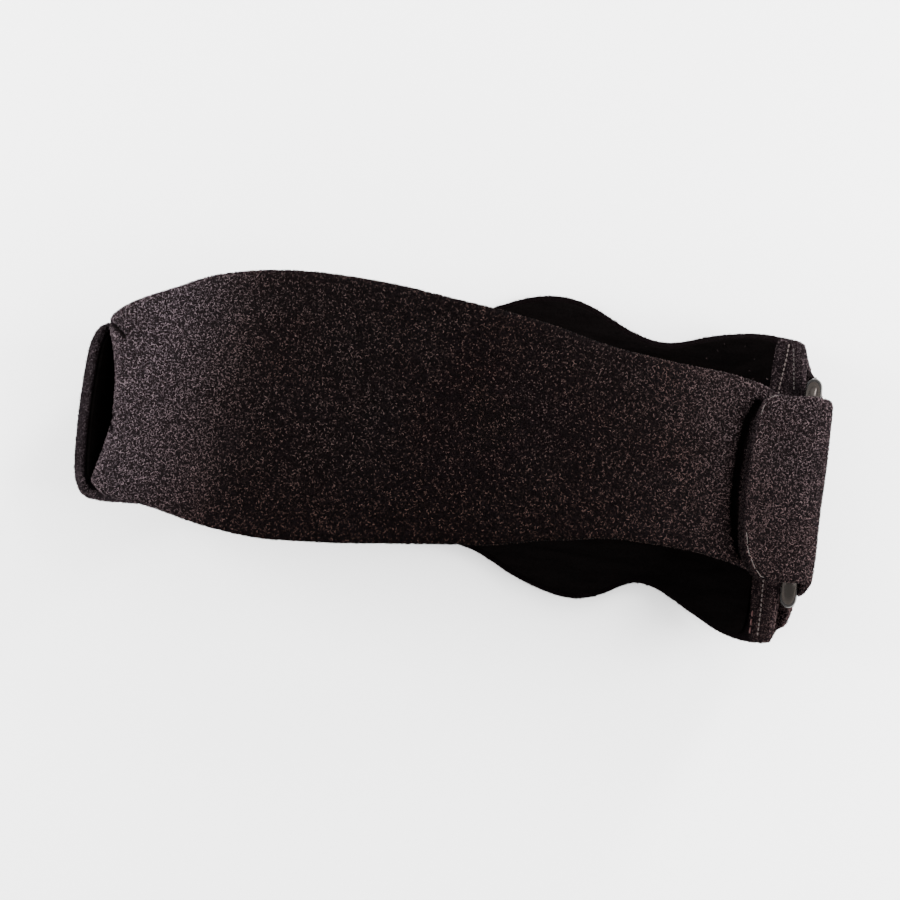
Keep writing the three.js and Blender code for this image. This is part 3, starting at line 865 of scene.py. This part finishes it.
def shape_tip(points):
    """Rounds the closing end to its outline and slants its cut wall."""
    x, y, z = points.T / MM
    tip = (x > 66) & (x < 77) & (z > 45.6) & (z > 45.6 + 0.35 * (69 - x))
    limit = tip_limit(y) * MM
    middle = (47.9 - 0.28 * (x - 69)) * MM
    height = np.clip((points[:, 2] - middle) / (1.3 * MM), -1, 1)
    limit -= TIP_SLANT * (1 - height) / 2
    points[:, 0] = np.where(tip, np.maximum(points[:, 0], limit), points[:, 0])
    return points


def tip_wall(points):
    """Which points belong to the cut wall of the closing end."""
    x, y, z = points.T / MM
    return (x > 66) * (z > 45.4) * smoothstep(0.05, -0.5, x - tip_limit(y))


class PATELLA_OT_front_strap(bpy.types.Operator):
    """Brushed foam strap: folded at the left, passed through the ring and back on itself"""

    bl_idname = "patella.front_strap"
    bl_label = "Front Strap"

    def execute(self, context):
        piece = soft_copy("front_strap", "strap_laminate", levels=3)
        mark_rim(piece, 3.0 * MM)
        points = shape_tip(shape_wrap(shape_fold(points_of(piece.data))))
        set_points(piece.data, points)
        normals = normals_of(piece.data)
        pressed = crease_mask(points, CREASES) * smoothstep(-0.1, 0.5, normals[:, 2])
        points -= CREASE_DEPTH * pressed[:, None] * normals
        x, y = points[:, 0], points[:, 1]
        ripple = RIPPLE * np.sin(310 * x + 40 * y) * np.sin(270 * y)
        points += normals * ripple[:, None]
        set_points(piece.data, points)
        # Painted shade in the creases and on the cut wall of the closing end
        paint(piece, "shade", np.maximum(1.25 * pressed, 0.85 * tip_wall(points)))
        finished(piece, brushed_cloth("strap_ground"))
        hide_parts("front_strap")
        return {"FINISHED"}


class PATELLA_OT_panel(bpy.types.Operator):
    """Outer cloth of the contoured panel"""

    bl_idname = "patella.panel"
    bl_label = "Contoured Panel"

    def execute(self, context):
        piece = soft_copy("contoured_panel", "panel_shell")
        points = points_of(piece.data)
        points[:, 2] = np.maximum(points[:, 2], BACK)
        set_points(piece.data, points)
        mark_rim(piece, 2.0 * MM, margin=16.0)
        finished(piece, brushed_cloth("panel_ground", lift=0.7, rim_highlight=0.045))
        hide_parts("contoured_panel")
        return {"FINISHED"}


class PATELLA_OT_lining(bpy.types.Operator):
    """Black velour on the inner face of the panel"""

    bl_idname = "patella.lining"
    bl_label = "Panel Lining"

    def execute(self, context):
        piece = soft_copy("panel_lining", "panel_velour")
        points = points_of(piece.data)
        x, y = points[:, :2].T / MM
        short = smoothstep(-62, -70, x) * smoothstep(-19, -21.5, y)
        points[:, 1] += 0.55 * MM * short
        set_points(piece.data, points)
        finished(piece, velour_material())
        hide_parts("panel_lining")
        return {"FINISHED"}


# How much wider than its solid the tab is sewn, by the way from its hems to the ring, in
# millimetres: top and foot of the inner layer, then the top of the outer layer
TAB_WAY = [45.0, 46.5, 47.5, 48.6, 49.7, 51.0, 52.1, 53.2, 54.3, 55.5, 56.6, 57.9, 59.6]
INNER_TOP = [1, 1, 1, 1.02, 1.09, 1.155, 1.215, 1.26, 1.32, 1.40, 1.42, 1.22, 1]
INNER_FOOT = [1, 1, 1, 1.01, 1.08, 1.095, 1.105, 1.12, 1.17, 1.27, 1.30, 1.17, 1]
OUTER_TOP = [1, 0.985, 0.965, 0.96, 0.96, 0.965, 0.985, 1.03, 1.07, 1.09, 1.04, 1, 1]


def shape_tab(points):
    """Widens the inner layer of the tab to its sewn outline and skews its hem."""
    x, y, z = points.T / MM
    way = 0.423 * x + 0.906 * z
    layer = 0.906 * x - 0.423 * z
    inner = smoothstep(66.6, 65.8, layer)
    top = inner * np.interp(way, TAB_WAY, INNER_TOP) + (1 - inner) * np.interp(
        way, TAB_WAY, OUTER_TOP)
    foot = inner * np.interp(way, TAB_WAY, INNER_FOOT) + (1 - inner)
    spread = np.where(y > 0, top, foot)
    points[:, 1] *= 1 + (spread - 1) * smoothstep(6, 19, np.abs(y))
    hem = inner * smoothstep(79, 75.5, x) * smoothstep(-12, -36, y)
    points[:, 0] += 1.2 * MM * hem
    points[:, 2] += 0.8 * MM * hem
    upper = inner * smoothstep(78, 75.5, x) * smoothstep(8, 20, y)
    points[:, 0] -= 0.8 * MM * upper
    points[:, 2] -= 0.5 * MM * upper
    return points


def ring_shadow(points):
    """How far the cloth of the tab is in the hollow beside the upper end of the ring, for its
    painted shadow.
    """
    x, y = points[:, :2].T / MM
    return np.exp(-((x - 79.9) / 1.2) ** 2 - ((y - 22.4) / 2.4) ** 2)


class PATELLA_OT_tab(bpy.types.Operator):
    """Cloth tab folded round the ring, hemmed over the end of the panel"""

    bl_idname = "patella.tab"
    bl_label = "Ring Tab"

    def execute(self, context):
        piece = soft_copy("ring_tab", "tab_cloth")
        mark_rim(piece, 1.6 * MM)
        points = shape_tab(points_of(piece.data))
        set_points(piece.data, points)
        # Painted shadow of the ring in the hollow beside its upper end
        paint(piece, "shade", 0.8 * ring_shadow(points))
        finished(piece, brushed_cloth("tab_ground", lift=1.2))
        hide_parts("ring_tab")
        return {"FINISHED"}


class PATELLA_OT_ring(bpy.types.Operator):
    """Rounded rectangle of satin wire"""

    bl_idname = "patella.ring"
    bl_label = "Ring"

    def execute(self, context):
        size = sizes()
        low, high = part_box("ring")
        wire = size.ring_wire
        span = (high - low) - Vector((wire, wire, wire))
        deselect()
        bpy.ops.mesh.primitive_plane_add(size=1, location=(0, 0, 0))
        piece = context.object
        piece.name = "ring_loop"
        piece.scale = (math.hypot(span.x, span.z), span.y, 1)
        bpy.ops.object.transform_apply(location=False, rotation=False, scale=True)
        edit_all()
        bpy.ops.mesh.bevel(offset=size.ring_corner, segments=12, affect="VERTICES")
        bpy.ops.mesh.delete(type="ONLY_FACE")
        bpy.ops.object.mode_set(mode="OBJECT")
        bpy.ops.object.convert(target="CURVE")
        piece = context.object
        piece.data.bevel_depth = wire / 2
        piece.data.bevel_resolution = 8
        bpy.ops.object.convert(target="MESH")
        piece = context.object
        turn = Matrix.Rotation(math.atan2(-span.z, -span.x), 4, "Y")
        piece.data.transform(Matrix.Translation((low + high) / 2) @ turn)
        edit_all()
        bpy.ops.mesh.remove_doubles(threshold=0.002 * MM)
        bpy.ops.mesh.normals_make_consistent(inside=False)
        bpy.ops.object.mode_set(mode="OBJECT")
        bpy.ops.object.shade_smooth()
        finished(piece, metal_material())
        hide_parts("ring")
        return {"FINISHED"}


class PATELLA_OT_hook(bpy.types.Operator):
    """Hook tape under the closing end"""

    bl_idname = "patella.hook"
    bl_label = "Hook Patch"

    def execute(self, context):
        piece = soft_copy("hook_patch", "hook_tape")
        finished(piece, hook_material())
        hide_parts("hook_patch")
        return {"FINISHED"}


def end_lightness(points):
    """The free end of the panel is a little darker along its edge, and its lower corner takes
    painted light.
    """
    x, y, z = points.T / MM
    end = smoothstep(-70, -76, x) * smoothstep(30, 38, z)
    corner = smoothstep(-62, -68, x) * smoothstep(-17, -20, y)
    return 1 - 0.05 * end + 1.2 * corner


def tab_lightness(points):
    """Painted light on the foot of the tab beside the ring, and painted shadow in the hollow above
    it.
    """
    x, y = points[:, :2].T / MM
    foot = smoothstep(79.5, 81.5, x) * smoothstep(-25, -28, y)
    return (1 + 3.0 * foot) * (1 - 0.75 * ring_shadow(points))


class PATELLA_OT_pile(bpy.types.Operator):
    """Curled pile of the brushed cloths"""

    bl_idname = "patella.pile"
    bl_label = "Pile"

    def execute(self, context):
        size = sizes()
        parts = bpy.data.objects
        strap, shell, tab = parts["strap_laminate"], parts["panel_shell"], parts["tab_cloth"]
        ring, lining, hook = parts["ring_loop"], parts["panel_velour"], parts["hook_tape"]
        yarn = yarn_cloth("pile_yarn")
        dense = size.pile_density

        def under(centres, normals):
            x, z = centres[:, ::2].T / MM
            return (normals[:, 2] < -0.1) | ((x < -60) & (z < 27))

        def folded_half(centres, normals):
            left = centres[:, 0] < PILE_SPLIT
            return np.where(left & ~under(centres, normals), dense, 0.0)

        def closing_half(centres, normals):
            right = centres[:, 0] >= PILE_SPLIT
            return np.where(right & ~under(centres, normals), dense, 0.0)

        def inner(centres, normals):
            return np.where(under(centres, normals), 0.25 * dense, 0.0)

        around = [ring, lining, shell, hook, tab]
        for name, spread, seed in (
                ("fold_pile", folded_half, 3), ("closing_pile", closing_half, 8),
                ("strap_under_pile", inner, 4)):
            # Painted shade on the curls of the closing end's cut wall
            made = curls(name, strap, spread, around, seed, creases=CREASES,
                         lightness=lambda places: 1 - 0.5 * tip_wall(places))
            finished(made, yarn)

        def back(centres, normals):
            x, z = centres[:, ::2].T / MM
            facing_lining = (normals[:, 2] > 0.5) & (z < 30)
            free_end = (x < -70) & (z > 30)
            return np.select([facing_lining, free_end], [0.02, 0.9 * dense], 0.36 * dense)

        shell_pile = curls("panel_pile", shell, back, [lining, tab, strap], 5,
                           tone=(0.0, 0.55), floor=0.02 * MM, lightness=end_lightness)
        finished(shell_pile, yarn)

        def sparse(centres, normals):
            x, y = centres[:, :2].T / MM
            return np.where((x > 40) & (y > 12) & (normals[:, 2] > 0.2), 0.05, 0.0)

        lint = curls("lint", lining, sparse, [shell, tab, strap], 11, tone=(0.3, 0.8))
        finished(lint, yarn)

        tab_pile = curls("tab_pile", tab, lambda c, n: np.full(len(c), 0.8 * dense),
                         [ring, shell, lining, strap], 7, lightness=tab_lightness)
        finished(tab_pile, yarn)
        return {"FINISHED"}


# Sewn lines in plan, in millimetres: over the tab's hem, beside it, and at its foot
HEM_LINE = [(77.7, 33.7), (77.4, 29.6), (76.7, 22.9), (76.5, 0.0), (78.3, -23.7), (78.5, -30.7),
            (78.5, -37.6)]
SECOND_LINE = [(78.6, 32.6), (79.2, 27.5), (79.6, 22.0)]
FOOT_LINE = [(76.9, -31.0), (76.9, -37.6)]
# Frayed thread along the two corners of the closing end, in plan, in millimetres
UPPER_TIP = [(77.5, 20.3), (72.9, 19.9), (71.2, 19.1), (70.1, 17.1), (69.4, 14.2)]
LOWER_TIP = [(69.4, -12.0), (70.4, -16.5), (72.3, -19.9), (74.1, -21.9), (75.6, -22.2)]


def course_over(tree, course, top, lowest=0.0, step=0.4 * MM):
    """Points and normals where a course in plan lies on a surface."""
    places = []
    for (x0, y0), (x1, y1) in zip(course, course[1:]):
        count = max(2, int(math.hypot(x1 - x0, y1 - y0) * MM / step))
        for share in np.arange(count) / count:
            places.append(((x0 + share * (x1 - x0)) * MM, (y0 + share * (y1 - y0)) * MM, top))
    line, facing = dropped_line(tree, places, lowest)
    if len(line) < 2:
        raise RuntimeError("a sewn line misses its cloth")
    return line, facing


class PATELLA_OT_stitching(bpy.types.Operator):
    """Stitching of the hems and the bound edge of the closing end"""

    bl_idname = "patella.stitching"
    bl_label = "Stitching"

    def execute(self, context):
        size = sizes()
        palette = colours()
        parts = bpy.data.objects
        light = thread_material("seam_thread", palette.seam)
        faint = thread_material("faint_thread", scaled(palette.seam, 0.4))
        red = thread_material("red_thread", palette.foot_seam)
        tab = surface_of(parts["tab_cloth"])
        strap = surface_of(parts["strap_laminate"])
        for name, course, thread, share in (
                ("hem_stitches", HEM_LINE, light, 0.55),
                ("second_stitches", SECOND_LINE, faint, 0.55),
                ("foot_stitches", FOOT_LINE, red, 0.8)):
            line, facing = course_over(tab, course, 30 * MM)
            stitches(name, line, facing, thread, share * size.stitch)
        for name, course in (("upper_tip_edge", UPPER_TIP), ("lower_tip_edge", LOWER_TIP)):
            line, facing = course_over(strap, course, 60 * MM, lowest=47 * MM)
            stitches(name, line, facing, faint, 1.3 * size.stitch,
                     gap_share=0.05, girth_share=0.55)
        return {"FINISHED"}


class PATELLA_OT_stage(bpy.types.Operator):
    """Pale floor, soft lights and the camera above the strap"""

    bl_idname = "patella.stage"
    bl_label = "Stage"

    def execute(self, context):
        palette = colours()
        deselect()
        bpy.ops.mesh.primitive_plane_add(size=FLOOR_WIDTH, location=(0, 0, -0.02 * MM))
        floor = context.object
        floor.name = "floor"
        material, tree, shader, place = start_material(
            "floor_paper", roughness=0.9, specular=0.1)
        grain = noise(tree, place, {"Scale": 300.0, "Detail": 3.0})
        tone = mixed(tree, grain.outputs["Fac"], scaled(palette.floor, 0.985), palette.floor)
        tree.links.new(tone, shader.inputs["Base Color"])
        floor.data.materials.append(material)
        for row in LIGHTS:
            add_light(row["name"], row["place"], row["size"], row["power"])
        world = bpy.data.worlds.new("studio")
        world.use_nodes = True
        around = world.node_tree.nodes["Background"]
        around.inputs["Color"].default_value = (1, 1, 1, 1)
        around.inputs["Strength"].default_value = SURROUND_LIGHT
        context.scene.world = world
        camera = linked("camera", bpy.data.cameras.new("camera"))
        camera.location = (PICTURE_CENTRE[0], PICTURE_CENTRE[1], sizes().camera_height)
        camera.rotation_euler = (0, 0, math.radians(PICTURE_TURN))
        camera.data.sensor_width = SENSOR
        camera.data.lens = SENSOR * FOCAL_PIXELS / PICTURE_WIDTH
        context.scene.camera = camera
        return {"FINISHED"}


def add_light(name, place, size, power):
    """A softbox of a width and a height in metres, facing the strap."""
    light = bpy.data.lights.new(name, "AREA")
    light.shape = "RECTANGLE"
    light.size, light.size_y = size
    light.energy = power
    lamp = linked(name, light)
    lamp.location = place
    lamp.rotation_euler = (-Vector(place)).to_track_quat("-Z", "Y").to_euler()


class PATELLA_PT_panel(bpy.types.Panel):
    """Sidebar list of the pieces"""

    bl_idname = "PATELLA_PT_panel"
    bl_label = "Patella Strap"
    bl_space_type = "VIEW_3D"
    bl_region_type = "UI"
    bl_category = "Patella Strap"

    def draw(self, context):
        for operator in OPERATORS:
            self.layout.operator(operator.bl_idname)


OPERATORS = [
    PATELLA_OT_ring,
    PATELLA_OT_lining,
    PATELLA_OT_panel,
    PATELLA_OT_front_strap,
    PATELLA_OT_tab,
    PATELLA_OT_hook,
    PATELLA_OT_pile,
    PATELLA_OT_stitching,
    PATELLA_OT_stage,
]
CLASSES = [StrapSizes, StrapColours, *OPERATORS, PATELLA_PT_panel]


def register():
    for item in CLASSES:
        bpy.utils.register_class(item)
    bpy.types.Scene.patella_sizes = PointerProperty(type=StrapSizes)
    bpy.types.Scene.patella_colours = PointerProperty(type=StrapColours)


def unregister():
    del bpy.types.Scene.patella_colours
    del bpy.types.Scene.patella_sizes
    for item in reversed(CLASSES):
        bpy.utils.unregister_class(item)


def main():
    register()
    for operator in OPERATORS:
        family, name = operator.bl_idname.split(".")
        getattr(getattr(bpy.ops, family), name)()


if __name__ == "__main__":
    main()
